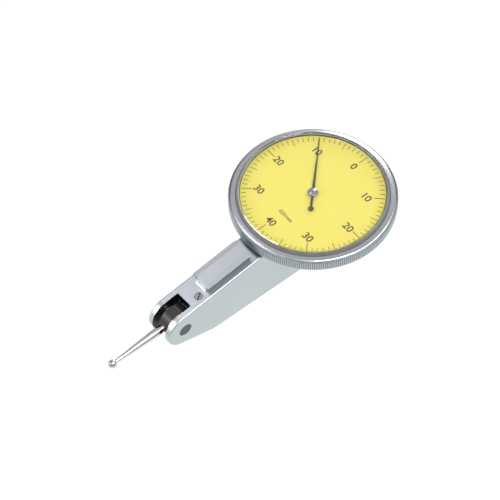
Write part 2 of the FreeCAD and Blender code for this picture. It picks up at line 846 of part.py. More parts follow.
def bezel_ring():
    bore = case_radius + running_gap
    ledge = dial_face - dial_thickness
    ring = turned([
        (bore, -bezel_drop),
        (bezel_radius - bezel_foot_bevel, -bezel_drop),
        (bezel_radius, bezel_foot_bevel - bezel_drop),
        (bezel_radius, bezel_crest - bezel_bevel_drop),
        (bezel_radius - bezel_bevel_width, bezel_crest - crest_fall),
        (crystal_bore + crest_edge, bezel_crest),
        (crystal_bore, bezel_crest - crest_edge),
        (crystal_bore, ledge),
        (crystal_bore - ledge_width, ledge),
        (crystal_bore - ledge_width, ledge - ledge_thickness),
        (bore, ledge - ledge_thickness),
    ])
    return ring.cut(Part.makeTorus(case_radius, wire_radius + wire_gap, V(dial_x, 0, wire_z), Z))


def dial_plate():
    outer = crystal_bore - dial_edge_gap
    base = (dial_x, 0, face_z - dial_thickness)
    return tube(outer, dial_hole_radius, dial_thickness, base, Z)


def crystal_seal():
    outer = crystal_bore - dial_edge_gap
    return tube(outer, outer - seal_width, seal_height, (dial_x, 0, face_z), Z)


def crystal():
    outer = crystal_bore - dial_edge_gap
    inner = outer - crystal_wall
    under = crystal_edge - crystal_thickness
    top_edge = V(dial_x + outer - crystal_draw, 0, dial_z + crystal_edge)
    under_edge = V(dial_x + inner - crystal_inner_bevel, 0, dial_z + under)
    top_crown = V(dial_x, 0, dial_z + crystal_crown)
    under_crown = V(dial_x, 0, dial_z + crystal_crown - crystal_thickness)
    skirt = [
        under_edge,
        V(dial_x + inner, 0, dial_z + under - crystal_bevel_height),
        V(dial_x + inner, 0, face_z + seal_height),
        V(dial_x + outer, 0, face_z + seal_height),
        V(dial_x + outer, 0, dial_z + crystal_shoulder),
        top_edge,
    ]
    edges = [Part.makeLine(a, b) for a, b in zip(skirt, skirt[1:])]
    edges.append(dome_arc(top_edge, top_crown))
    edges.append(Part.makeLine(top_crown, under_crown))
    edges.append(dome_arc(under_edge, under_crown))
    wire = Part.Wire(Part.__sortEdges__(edges))
    return Part.Face(wire).revolve(V(dial_x, 0, 0), Z, 360)


def dome_arc(edge, crown):
    # The arc from a dome's edge to its crown, level at the crown.
    reach = edge.x - crown.x
    rise = crown.z - edge.z
    radius = (reach ** 2 + rise ** 2) / (2 * rise)
    half = math.asin(reach / radius) / 2
    middle = V(crown.x + radius * math.sin(half), 0, crown.z - radius * (1 - math.cos(half)))
    return Part.Arc(edge, middle, crown).toShape()


def pointer():
    low = pointer_z
    root = pointer_root_width / 2
    tip = pointer_tip_width / 2
    tail = pointer_tail_width / 2
    blade = prism_z([(-pointer_tail, -tail), (0, -root), (pointer_length, -tip),
                     (pointer_length, tip), (0, root), (-pointer_tail, tail)], low, low + pointer_thickness)
    ring = cylinder(pointer_ring_radius, pointer_thickness, (0, 0, low), Z)
    weight = cylinder(pointer_tail_radius, pointer_thickness, (-pointer_tail, 0, low), Z)
    shape = blade.fuse([ring, weight])
    shape = shape.cut(cylinder(centre_arbor_radius, pointer_thickness, (0, 0, low), Z))
    shape.rotate(V(0, 0, 0), Z, pointer_angle)
    shape.translate(V(dial_x, 0, 0))
    return shape


def pointer_cap():
    low = pointer_z + pointer_thickness
    radius = (cap_radius ** 2 + cap_dome_height ** 2) / (2 * cap_dome_height)
    wall = cylinder(cap_radius, cap_wall_height, (dial_x, 0, low), Z)
    top = low + cap_wall_height + cap_dome_height
    dome = Part.makeSphere(radius, V(dial_x, 0, top - radius))
    lid = cylinder(cap_radius, cap_dome_height, (dial_x, 0, low + cap_wall_height), Z)
    bore = cylinder(centre_arbor_radius, cap_wall_height, (dial_x, 0, low), Z)
    return wall.fuse(lid.common(dome)).cut(bore)


def pieces():
    return {
        "body_housing": body_housing(),
        "side_cover": side_cover(),
        "cover_screws": cover_screws(),
        "fork_screw": fork_screw(),
        "near_pivot_plug": pivot_plug(-1),
        "far_pivot_plug": pivot_plug(1),
        "sector_bush_near": near_bush(sector_x),
        "sector_bush_far": far_bush(sector_x),
        "crown_bush_near": near_bush(dial_x),
        "crown_bush_far": far_bush(dial_x),
        "pinion_bridge": pinion_bridge(),
        "bridge_screw": bridge_screw(),
        "bridge_jewel": bridge_jewel(),
        "case_jewel": case_jewel(),
        "case_screws": case_screws(),
        "dial_case": dial_case(),
        "bezel_wire": bezel_wire(),
        "hairspring": hairspring(),
        "hairspring_stud": hairspring_stud(),
        "bezel_ring": bezel_ring(),
        "dial_plate": dial_plate(),
        "crystal_seal": crystal_seal(),
        "crystal": crystal(),
        "pivot_axle": pivot_axle(),
        "lever_arm": lever_arm(),
        "drive_pin": drive_pin(),
        "friction_washer": friction_washer(),
        "spring_washer": spring_washer(),
        "swivel_drum": swivel_drum(),
        "contact_stem": contact_stem(),
        "contact_ball": contact_ball(),
        "sector_gear": sector_gear(),
        "sector_arbor": arbor(sector_x),
        "crown_arbor": arbor(dial_x),
        "crown_wheel": crown_wheel(),
        "drive_pinion": drive_pinion(),
        "hairspring_collet": hairspring_collet(),
        "centre_arbor": centre_arbor(),
        "centre_pinion": centre_pinion(),
        "pointer": pointer(),
        "pointer_cap": pointer_cap(),
    }


os.makedirs("parts", exist_ok=True)
for name, shape in pieces().items():
    shape.exportStep("parts/" + name + ".step")
    print(name, len(shape.Solids), "solids", round(shape.Volume, 3), "mm3", "valid" if shape.isValid() else "INVALID")
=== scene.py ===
import bpy
import math
import numpy as np
from mathutils import Matrix, Vector


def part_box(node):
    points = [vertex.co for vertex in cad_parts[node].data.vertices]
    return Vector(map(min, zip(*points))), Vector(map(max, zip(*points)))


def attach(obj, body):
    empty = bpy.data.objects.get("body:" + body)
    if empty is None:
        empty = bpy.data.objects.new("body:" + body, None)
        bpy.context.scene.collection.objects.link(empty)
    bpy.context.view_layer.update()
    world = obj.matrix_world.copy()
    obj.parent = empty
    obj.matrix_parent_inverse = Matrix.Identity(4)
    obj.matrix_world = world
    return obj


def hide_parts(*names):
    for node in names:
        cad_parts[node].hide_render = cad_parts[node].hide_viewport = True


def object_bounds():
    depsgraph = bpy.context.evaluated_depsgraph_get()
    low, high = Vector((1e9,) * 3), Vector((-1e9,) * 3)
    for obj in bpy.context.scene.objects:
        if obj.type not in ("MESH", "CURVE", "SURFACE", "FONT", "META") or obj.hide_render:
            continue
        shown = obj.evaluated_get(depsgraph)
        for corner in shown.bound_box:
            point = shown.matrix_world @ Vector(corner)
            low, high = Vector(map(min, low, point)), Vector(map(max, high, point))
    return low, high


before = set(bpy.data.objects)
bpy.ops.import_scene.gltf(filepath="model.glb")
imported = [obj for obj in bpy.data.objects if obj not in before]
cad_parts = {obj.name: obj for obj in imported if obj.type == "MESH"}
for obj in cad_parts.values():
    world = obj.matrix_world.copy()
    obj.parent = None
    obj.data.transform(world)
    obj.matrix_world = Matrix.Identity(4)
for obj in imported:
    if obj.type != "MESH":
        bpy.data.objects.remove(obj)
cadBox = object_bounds()
mm = 0.001


# shader maths written as expressions on sockets

class Sock:
    def __init__(self, shader, out):
        self.shader = shader
        self.out = out

    def maths(self, kind, first, second=0.0):
        return self.shader.node("ShaderNodeMath", {"operation": kind}, {0: first, 1: second})

    def __add__(self, other):
        return self.maths("ADD", self, other)

    def __radd__(self, other):
        return self.maths("ADD", other, self)

    def __sub__(self, other):
        return self.maths("SUBTRACT", self, other)

    def __rsub__(self, other):
        return self.maths("SUBTRACT", other, self)

    def __mul__(self, other):
        return self.maths("MULTIPLY", self, other)

    def __rmul__(self, other):
        return self.maths("MULTIPLY", other, self)

    def __truediv__(self, other):
        return self.maths("DIVIDE", self, other)

    def __gt__(self, other):
        return self.maths("GREATER_THAN", self, other)

    def __lt__(self, other):
        return self.maths("LESS_THAN", self, other)

    def root(self):
        return self.maths("SQRT", self)

    def size(self):
        return self.maths("ABSOLUTE", self)


class Shader:
    def __init__(self, name):
        self.material = bpy.data.materials.new(name)
        self.material.use_nodes = True
        self.tree = self.material.node_tree
        self.tree.nodes.clear()
        self.end = self.tree.nodes.new("ShaderNodeOutputMaterial")

    def node(self, kind, settings=None, values=None, out=0):
        made = self.tree.nodes.new(kind)
        for key, value in (settings or {}).items():
            setattr(made, key, value)
        for key, value in (values or {}).items():
            if isinstance(value, Sock):
                self.tree.links.new(value.out, made.inputs[key])
            else:
                made.inputs[key].default_value = value
        return Sock(self, made.outputs[out])

    def place(self):
        return self.node("ShaderNodeTexCoord", out="Object")

    def parts(self, vector):
        split = self.node("ShaderNodeSeparateXYZ", None, {0: vector})
        outputs = split.out.node.outputs
        return [Sock(self, outputs[k]) for k in range(3)]

    def stretched(self, scale, turn=(0, 0, 0), shift=(0, 0, 0)):
        values = {"Vector": self.place(), "Scale": scale, "Rotation": turn, "Location": shift}
        return self.node("ShaderNodeMapping", None, values)

    def noise(self, vector, scale, detail=3.0, rough=0.5):
        values = {"Vector": vector, "Scale": scale, "Detail": detail, "Roughness": rough}
        return self.node("ShaderNodeTexNoise", None, values)

    def blend(self, share, first, second):
        values = {0: share, 6: (*first, 1) if isinstance(first, tuple) else first,
                  7: (*second, 1) if isinstance(second, tuple) else second}
        return self.node("ShaderNodeMix", {"data_type": "RGBA"}, values, out=2)

    def bump(self, height, distance, strength=1.0):
        values = {"Height": height, "Distance": distance, "Strength": strength}
        return self.node("ShaderNodeBump", None, values)

    def surface(self, **values):
        names = {"color": "Base Color", "roughness": "Roughness", "metallic": "Metallic",
                 "coat": "Coat Weight", "normal": "Normal", "ior": "IOR",
                 "transmission": "Transmission Weight", "specular": "Specular IOR Level"}
        sockets = {}
        for key, value in values.items():
            sockets[names[key]] = (*value, 1.0) if key == "color" and isinstance(value, tuple) else value
        return self.node("ShaderNodeBsdfPrincipled", None, sockets)

    def finish(self, surface):
        self.tree.links.new(surface.out, self.end.inputs["Surface"])
        return self.material


def dress(material, *names):
    for name in names:
        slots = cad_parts[name].data.materials
        slots.clear()
        slots.append(material)


# meshes worked out with numpy

def meshPiece(name, points, faces, material, body, smooth=True):
    data = bpy.data.meshes.new(name)
    data.from_pydata(points.reshape(-1, 3).tolist(), [], faces.tolist())
    data.polygons.foreach_set("use_smooth", np.full(len(faces), smooth))
    data.materials.append(material)
    data.update()
    piece = bpy.data.objects.new(name, data)
    bpy.context.scene.collection.objects.link(piece)
    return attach(piece, body)


def gridFaces(rows, columns, wrapRows, wrapColumns):
    # four corners of every cell of a rows x columns grid, joined round where it wraps
    i, j = np.meshgrid(np.arange(rows - 1 + wrapRows), np.arange(columns - 1 + wrapColumns), indexing="ij")
    nextRow = (i + 1) % rows
    nextColumn = (j + 1) % columns
    cells = np.stack([i * columns + j, i * columns + nextColumn,
                      nextRow * columns + nextColumn, nextRow * columns + j], -1)
    return cells.reshape(-1, 4)


def rounded(profile, radius, steps=4):
    # every corner of a closed profile becomes a quadratic curve that starts and ends at radius from it
    corners = np.array(profile, float)
    before = np.roll(corners, 1, 0)
    after = np.roll(corners, -1, 0)
    radii = np.broadcast_to(np.array(radius, float), len(corners))
    t = np.linspace(0, 1, steps)[:, None]
    out = []
    for corner, a, b, r in zip(corners, before, after, radii):
        toA = (a - corner) / np.linalg.norm(a - corner)
        toB = (b - corner) / np.linalg.norm(b - corner)
        start = corner + toA * min(r, np.linalg.norm(a - corner) * 0.45)
        end = corner + toB * min(r, np.linalg.norm(b - corner) * 0.45)
        out.append((1 - t) ** 2 * start + 2 * t * (1 - t) * corner + t ** 2 * end)
    return np.concatenate(out)


def turnedPoints(r, z, angle):
    # point(s, a) = (r(s, a) cos a, r(s, a) sin a, z(s)) round the dial's axis, up from the reference height
    height = np.repeat(z[:, None], len(angle), 1)
    points = np.stack([r * np.cos(angle), r * np.sin(angle), height], -1)
    return points * mm + np.array([axis[0], 0, crownBase])


def turnedPiece(name, profile, material, body, columns=360):
    # a closed profile (r, z), read counter-clockwise, carried round the dial's axis
    angle = np.linspace(0, 2 * np.pi, columns, endpoint=False)
    r, z = np.array(profile, float).T
    points = turnedPoints(np.repeat(r[:, None], columns, 1), z, angle)
    return meshPiece(name, points, gridFaces(len(r), columns, True, True), material, body)


# places read from the frame

def middle(node):
    low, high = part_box(node)
    return (np.array(low) + np.array(high)) / 2


dialBox = [np.array(corner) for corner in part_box("dial_plate")]
bezelBox = [np.array(corner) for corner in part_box("bezel_ring")]
axis = np.array([middle("bezel_ring")[0], 0.0, 0.0])
dialTop = dialBox[1][2]
bezelFoot = -2.19
crownBase = bezelBox[0][2] - bezelFoot * mm


# camera

cameraLook = {"azimuth": 38.628, "elevation": 54.774, "roll": -2.296, "distance": 334.32,
              "sideways": 14.025, "upwards": 12.214, "lens": 108.0, "above": 1.6}


def placeCamera(look):
    az, el, roll = [math.radians(look[key]) for key in ("azimuth", "elevation", "roll")]
    aside = Matrix(((math.cos(az), -math.sin(az), 0), (math.sin(az), math.cos(az), 0), (0, 0, 1)))
    over = Matrix(((1, 0, 0), (0, -math.sin(el), -math.cos(el)), (0, math.cos(el), -math.sin(el))))
    level = Matrix(((math.cos(roll), -math.sin(roll), 0), (math.sin(roll), math.cos(roll), 0), (0, 0, 1)))
    right, down, ahead = level @ over @ aside
    back = Matrix((right, -down, -ahead)).transposed()
    shift = right * look["sideways"] - down * look["upwards"] + ahead * look["distance"]
    aim = Vector((axis[0] / mm, 0, look["above"]))
    data = bpy.data.cameras.new("camera")
    data.lens = look["lens"]
    data.clip_end = 50
    camera = bpy.data.objects.new("camera", data)
    camera.matrix_world = Matrix.Translation((aim - shift) * mm) @ back.to_4x4()
    bpy.context.scene.collection.objects.link(camera)
    bpy.context.scene.camera = camera


placeCamera(cameraLook)
print("camera placed")


# studio

studio = {"floorDrop": 0.10, "floorSize": 6.0, "floorTone": 0.9, "mirrored": 0.9, "shadow": 0.25,
          "sky": 0.56, "skyTint": (0.97, 0.98, 1.0), "horizon": 0.06, "darkUpTo": (0.14, 0.34)}
lamps = {
    "leftBack": {"at": (-0.72, 0.42, 0.45), "size": (0.35, 0.5), "power": 4.0},
    "rightBack": {"at": (0.90, 0.46, 0.22), "size": (0.35, 0.35), "power": 4.0},
    "bandLeft": {"at": (0.02, 0.43, 0.85), "size": (0.16, 0.16), "power": 0.35},
    "bandRight": {"at": (0.62, 0.44, 0.58), "size": (0.20, 0.20), "power": 0.6},
    "overhead": {"at": (0.02, -0.40, 0.85), "size": (0.45, 0.45), "power": 5.6},
    "right": {"at": (0.62, -0.55, 0.60), "size": (0.4, 0.4), "power": 2.5},
}


def whiteFloor(look):
    shader = Shader("paleFloor")
    rays = shader.node("ShaderNodeLightPath")
    outputs = rays.out.node.outputs
    seen = Sock(shader, outputs["Is Camera Ray"])
    mirrored = Sock(shader, outputs["Is Glossy Ray"])
    through = Sock(shader, outputs["Is Transmission Ray"])
    plain = shader.node("ShaderNodeBsdfDiffuse", None, {"Color": (look["floorTone"],) * 3 + (1,)})
    glow = shader.node("ShaderNodeEmission", None, {"Color": (1, 1, 1, 1), "Strength": 1.0})
    share = seen * (1 - look["shadow"]) + (mirrored + through) * look["mirrored"]
    mixed = shader.node("ShaderNodeMixShader", None, {0: share, 1: plain, 2: glow})
    half = look["floorSize"] / 2
    low = cadBox[0][2] - look["floorDrop"]
    corners = np.array([(-half, -half, low), (half, -half, low), (half, half, low), (-half, half, low)])
    data = bpy.data.meshes.new("floor")
    data.from_pydata(corners.tolist(), [], [(0, 1, 2, 3)])
    data.materials.append(shader.finish(mixed))
    floor = bpy.data.objects.new("floor", data)
    bpy.context.scene.collection.objects.link(floor)


def paleSky(look):
    world = bpy.data.worlds.new("sky")
    bpy.context.scene.world = world
    world.use_nodes = True
    tree = world.node_tree
    tree.nodes.clear()
    rays = tree.nodes.new("ShaderNodeLightPath")
    dim = tree.nodes.new("ShaderNodeBackground")
    dim.inputs["Color"].default_value = (*look["skyTint"], 1)
    # the sky darkens towards the horizon, which gives polished metal its dark lines
    spot = tree.nodes.new("ShaderNodeTexCoord")
    split = tree.nodes.new("ShaderNodeSeparateXYZ")
    level = tree.nodes.new("ShaderNodeMapRange")
    level.inputs["From Min"].default_value, level.inputs["From Max"].default_value = look["darkUpTo"]
    level.inputs["To Min"].default_value = look["horizon"]
    level.inputs["To Max"].default_value = look["sky"]
    tree.links.new(spot.outputs["Generated"], split.inputs[0])
    tree.links.new(split.outputs["Z"], level.inputs["Value"])
    tree.links.new(level.outputs[0], dim.inputs["Strength"])
    white = tree.nodes.new("ShaderNodeBackground")
    white.inputs["Color"].default_value = (1, 1, 1, 1)
    mix = tree.nodes.new("ShaderNodeMixShader")
    end = tree.nodes.new("ShaderNodeOutputWorld")
    tree.links.new(rays.outputs["Is Camera Ray"], mix.inputs[0])
    tree.links.new(dim.outputs[0], mix.inputs[1])
    tree.links.new(white.outputs[0], mix.inputs[2])
    tree.links.new(mix.outputs[0], end.inputs["Surface"])


def hangLamps(rig):
    aim = Vector(((cadBox[0][0] + cadBox[1][0]) / 2, 0, 0))
    for name, lamp in rig.items():
        data = bpy.data.lights.new(name, "AREA")
        data.shape = "RECTANGLE"
        data.size, data.size_y = lamp["size"]
        data.energy = lamp["power"]
        holder = bpy.data.objects.new(name, data)
        place = aim + Vector(lamp["at"])
        turn = (place - aim).to_track_quat("Z", "Y").to_matrix()
        holder.matrix_world = Matrix.Translation(place) @ turn.to_4x4()
        bpy.context.scene.collection.objects.link(holder)


whiteFloor(studio)
paleSky(studio)
hangLamps(lamps)
bpy.context.scene.view_settings.view_transform = "Standard"
print("studio built")


# metal finishes

# painted shade: sides and top are the same chrome, and the top gets a darker, bluer colour for the dimmer
# light it reflects
bodyFinish = {"side": (0.56, 0.62, 0.62), "top": (0.53, 0.56, 0.60), "roughness": 0.36, "grain": 0.0012,
              "topAtOrigin": -2.13, "topSlope": 0.0973, "skin": 0.12,
              "cloud": 60, "blasted": 9000, "brushed": (250, 14000, 14000), "grainStrength": 0.6,
              "mottle": (0.42, 0.46, 0.47), "mottleShare": 0.12, "cloudRougher": 0.10, "topSmoother": 0.06,
              "slotHalf": 2.27, "slotEnd": -10.78, "slotShadeColor": (0.035, 0.037, 0.04)}


def satinBody(look):
    # fine blasted grain on the sides, lengthwise brushing on everything above the sloping top face
    shader = Shader("satinChromedSteel")
    x, y, z = shader.parts(shader.place())
    plane = x * look["topSlope"] + (look["topAtOrigin"] - look["skin"]) * mm
    above = z > plane
    tone = shader.noise(shader.stretched((look["cloud"],) * 3), 1.0, 4.0)
    blasted = shader.noise(shader.stretched((look["blasted"],) * 3), 1.0, 2.0)
    brushed = shader.noise(shader.stretched(look["brushed"]), 1.0, 3.0)
    height = shader.node("ShaderNodeMix", {"data_type": "FLOAT"}, {0: above, 2: blasted, 3: brushed})
    # painted shade: the top takes a darker, bluer colour than the sides of the same chrome
    color = shader.blend(above, look["side"], look["top"])
    color = shader.blend(tone * look["mottleShare"], color, look["mottle"])
    # painted shade: the inside of the fork slot is coloured near-black
    slotShadeShare = (y.size() < look["slotHalf"] * mm) * (x < look["slotEnd"] * mm) * (1 - above)
    color = shader.blend(slotShadeShare, color, look["slotShadeColor"])
    rough = look["roughness"] + tone * look["cloudRougher"] - above * look["topSmoother"]
    normal = shader.bump(height, look["grain"] * mm, look["grainStrength"])
    return shader.finish(shader.surface(color=color, metallic=1.0, roughness=rough, normal=normal))


metalGrain = {"cloud": 300, "fine": 12000, "darker": 0.8, "tintShare": 4, "roughShare": 0.08,
              "strength": 0.5}
blackGrain = {"cloud": 500, "fine": 7000, "lighter": 1.8, "tintShare": 0.5, "roughShare": 0.1,
              "strength": 0.5}
rubyLook = {"cloud": 900, "dark": (0.45, 0.01, 0.05), "light": (0.62, 0.03, 0.09), "roughness": 0.08,
            "coat": 0.5}


def turnedMetal(name, color, roughness, grain=0.0, speckle=0.06, look=metalGrain):
    # smooth turned metal with a faint cloudy tone and a fine random grain
    shader = Shader(name)
    cloud = shader.noise(shader.stretched((look["cloud"],) * 3), 1.0, 3.0)
    fine = shader.noise(shader.stretched((look["fine"],) * 3), 1.0, 2.0)
    darker = tuple(channel * look["darker"] for channel in color)
    tint = shader.blend(cloud * speckle * look["tintShare"], color, darker)
    normal = shader.bump(fine, grain * mm, look["strength"])
    rough = roughness + (cloud - 0.5) * look["roughShare"]
    return shader.finish(shader.surface(color=tint, metallic=1.0, roughness=rough, normal=normal))


def blackFinish(name, color, roughness, grain, look=blackGrain):
    # a black coat with a slightly lighter cloud and a fine grain
    shader = Shader(name)
    fine = shader.noise(shader.stretched((look["fine"],) * 3), 1.0, 3.0)
    cloud = shader.noise(shader.stretched((look["cloud"],) * 3), 1.0, 3.0)
    lighter = tuple(channel * look["lighter"] for channel in color)
    tint = shader.blend(cloud * look["tintShare"], color, lighter)
    normal = shader.bump(fine, grain * mm, look["strength"])
    rough = roughness + cloud * look["roughShare"]
    return shader.finish(shader.surface(color=tint, roughness=rough, normal=normal))


chromeBody = satinBody(bodyFinish)
screwSteel = turnedMetal("turnedSteel", (0.58, 0.60, 0.61), 0.28, 0.0006)
polishedSteel = turnedMetal("polishedSteel", (0.72, 0.72, 0.70), 0.10, 0.0002, 0.03)
darkSteel = turnedMetal("darkenedSteel", (0.115, 0.125, 0.135), 0.42, 0.0015)
slotSteel = turnedMetal("oiledSteel", (0.26, 0.27, 0.28), 0.30, 0.0006)
springSteel = turnedMetal("springSteel", (0.50, 0.52, 0.55), 0.25, 0.0004)
yellowBrass = turnedMetal("turnedBrass", (0.80, 0.60, 0.26), 0.25, 0.0005)
copperAlloy = turnedMetal("copperAlloy", (0.72, 0.36, 0.22), 0.30, 0.0006)
capSteel = turnedMetal("capSteel", (0.40, 0.385, 0.405), 0.20, 0.0003)
carbide = turnedMetal("polishedCarbide", (0.62, 0.63, 0.64), 0.07, 0.0001, 0.02)
blackDrum = blackFinish("blackenedSteel", (0.012, 0.013, 0.014), 0.38, 0.001)
blackPaint = blackFinish("mattBlackPaint", (0.016, 0.010, 0.008), 0.55, 0.001)
sealBlack = blackFinish("blackSeal", (0.02, 0.02, 0.02), 0.6, 0.002)


def rubyJewel(look):
    shader = Shader("syntheticRuby")
    cloud = shader.noise(shader.stretched((look["cloud"],) * 3), 1.0, 2.0)
    tint = shader.blend(cloud, look["dark"], look["light"])
    return shader.finish(shader.surface(color=tint, roughness=look["roughness"], coat=look["coat"]))


dress(chromeBody, "body_housing", "side_cover", "dial_case")
dress(slotSteel, "fork_screw")
dress(screwSteel, "cover_screws", "bridge_screw", "case_screws", "lever_arm", "drive_pin",
      "sector_arbor", "crown_arbor", "drive_pinion", "centre_arbor", "centre_pinion")
dress(darkSteel, "near_pivot_plug", "far_pivot_plug", "pivot_axle")
dress(yellowBrass, "sector_bush_near", "sector_bush_far", "crown_bush_near", "crown_bush_far",
      "pinion_bridge", "hairspring_stud", "sector_gear", "crown_wheel", "hairspring_collet")
dress(springSteel, "bezel_wire", "hairspring", "spring_washer")
dress(rubyJewel(rubyLook), "bridge_jewel", "case_jewel")
dress(copperAlloy, "friction_washer")
dress(blackDrum, "swivel_drum")
dress(polishedSteel, "contact_stem")
dress(capSteel, "pointer_cap")
dress(carbide, "contact_ball")
dress(blackPaint, "pointer")
dress(sealBlack, "crystal_seal")
print("metal finishes set")


# dial

dialLook = {
    "yellow": (0.68, 0.595, 0.10), "warm": 0.95, "warmShare": 0.6, "cloud": 140, "grain": 9000,
    "grainHeight": 0.0008, "grainStrength": 0.4, "roughness": 0.5, "specular": 0.25,
    "inkColors": ((0.006, 0.004, 0.002), (0.016, 0.010, 0.005)), "inkCloud": 2000, "inkRoughness": 0.6,
    "zero": -2.0, "divisions": 80, "outer": 16.05, "short": 14.9, "half": 14.1, "long": 13.5,
    "line": 0.125, "longLine": 1.25, "ink": 0.02, "bold": 0.035,
    "numbers": 8, "labelRadius": 12.0, "labelSize": 2.5, "smallSize": 1.25, "unitSpot": (-8.6, -0.65),
}


def yellowFace(look):
    shader = Shader("yellowDialPaint")
    cloud = shader.noise(shader.stretched((look["cloud"],) * 3), 1.0, 3.0)
    fine = shader.noise(shader.stretched((look["grain"],) * 3), 1.0, 2.0)
    warm = tuple(channel * look["warm"] for channel in look["yellow"])
    tint = shader.blend(cloud * look["warmShare"], look["yellow"], warm)
    normal = shader.bump(fine, look["grainHeight"] * mm, look["grainStrength"])
    values = {"roughness": look["roughness"], "specular": look["specular"]}
    return shader.finish(shader.surface(color=tint, normal=normal, **values))


def printInk(look):
    shader = Shader("dialInk")
    cloud = shader.noise(shader.stretched((look["inkCloud"],) * 3), 1.0, 2.0)
    tint = shader.blend(cloud, *look["inkColors"])
    return shader.finish(shader.surface(color=tint, roughness=look["inkRoughness"]))


def scaleTicks(look, ink):
    # each tick is a thin box: corner(k, i) = along(r) + across(w) + up(h), turned to the k-th angle
    count = look["divisions"]
    k = np.arange(count)
    angle = np.radians(look["zero"] + k * 360 / count)
    inner = np.where(k % 10 == 0, look["long"], np.where(k % 5 == 0, look["half"], look["short"]))
    width = np.where(k % 10 == 0, look["line"] * look["longLine"], look["line"])
    corners = np.array([(i, j, h) for h in (0, 1) for i, j in ((0, -1), (1, -1), (1, 1), (0, 1))])
    r = inner[:, None] + (look["outer"] - inner)[:, None] * corners[:, 0]
    w = width[:, None] / 2 * corners[:, 1]
    x = r * np.cos(angle)[:, None] - w * np.sin(angle)[:, None]
    y = r * np.sin(angle)[:, None] + w * np.cos(angle)[:, None]
    z = np.broadcast_to(corners[:, 2] * look["ink"], x.shape)
    points = np.stack([x, y, z], -1) * mm + axis + np.array([0, 0, dialTop])
    box = np.array([(0, 3, 2, 1), (4, 5, 6, 7), (0, 1, 5, 4), (1, 2, 6, 5), (2, 3, 7, 6), (3, 0, 4, 7)])
    faces = (box[None] + (k * 8)[:, None, None]).reshape(-1, 4)
    return meshPiece("dialTicks", points, faces, ink, "bezel", False)


def printedWords(name, words, size, spot, turn, ink, look):
    # letters made a thin mesh first, then turned and set down on the dial
    curve = bpy.data.curves.new(name, "FONT")
    curve.body = words
    curve.size = size * mm
    curve.align_x = "CENTER"
    curve.align_y = "CENTER"
    curve.extrude = look["ink"] / 2 * mm
    curve.offset = look["bold"] * mm * size / look["labelSize"]
    holder = bpy.data.objects.new(name + "Text", curve)
    bpy.context.scene.collection.objects.link(holder)
    bpy.context.view_layer.update()
    solved = holder.evaluated_get(bpy.context.evaluated_depsgraph_get())
    data = bpy.data.meshes.new_from_object(solved)
    bpy.data.objects.remove(holder)
    corners = np.zeros(len(data.vertices) * 3)
    data.vertices.foreach_get("co", corners)
    corners = corners.reshape(-1, 3)
    centre = (corners.min(0) + corners.max(0)) / 2
    place = Matrix.Translation((axis[0] + spot[0] * mm, spot[1] * mm, dialTop + look["ink"] / 2 * mm))
    data.transform(place @ Matrix.Rotation(turn, 4, "Z") @ Matrix.Translation(-Vector(centre)))
    data.name = name
    data.materials.clear()
    data.materials.append(ink)
    piece = bpy.data.objects.new(name, data)
    bpy.context.scene.collection.objects.link(piece)
    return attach(piece, "bezel")


def dialFace(look):
    dress(yellowFace(look), "dial_plate")
    ink = printInk(look)
    scaleTicks(look, ink)
    upTurn = math.radians(look["zero"] - 90)
    count = look["numbers"]
    for k in range(count):
        angle = math.radians(look["zero"] + 360 / count * k)
        value = 10 * min(k, count - k)
        spot = (look["labelRadius"] * math.cos(angle), look["labelRadius"] * math.sin(angle))
        printedWords("dialNumber" + str(k), str(value), look["labelSize"], spot, upTurn, ink, look)
    printedWords("dialUnit", "0.01mm", look["smallSize"], look["unitSpot"], upTurn, ink, look)


dialFace(dialLook)
print("dial printed")


# bezel

bezelLook = {
    "bore": 17.02, "crystalBore": 17.23, "ledgeBore": 16.35, "outer": 19.0, "bandOuter": 18.3,
    "low": bezelFoot, "ledgeLow": -1.05, "ledgeTop": -0.15, "rimTop": 0.42, "crest": 0.86, "bandFall": 0.1,
    "footBevel": 0.25, "rimEdge": (0.14, 0.1), "bandEdge": (0.05, 0.03), "crestEdge": 0.08,
    "rounding": [0.05, 0.12, 0.12, 0.06, 0.05, 0.04, 0.03, 0.05, 0.04, 0.02, 0.03, 0.03, 0.03],
    "teeth": 252, "perTooth": 6, "toothDepth": 0.17, "toothShape": 0.8, "toothFade": (0.08, 0.25),
    "rimColor": (0.62, 0.68, 0.72), "grooveShadeColor": (0.17, 0.19, 0.20), "bandColor": (0.62, 0.63, 0.66),
    "grooveFrom": 0.04, "grooveShadeBelow": 0.1, "cloud": 200, "turningScale": 6000, "turning": 0.012,
    "bandRoughness": 0.14, "rimRougher": 0.16, "cloudRougher": 0.05,
}


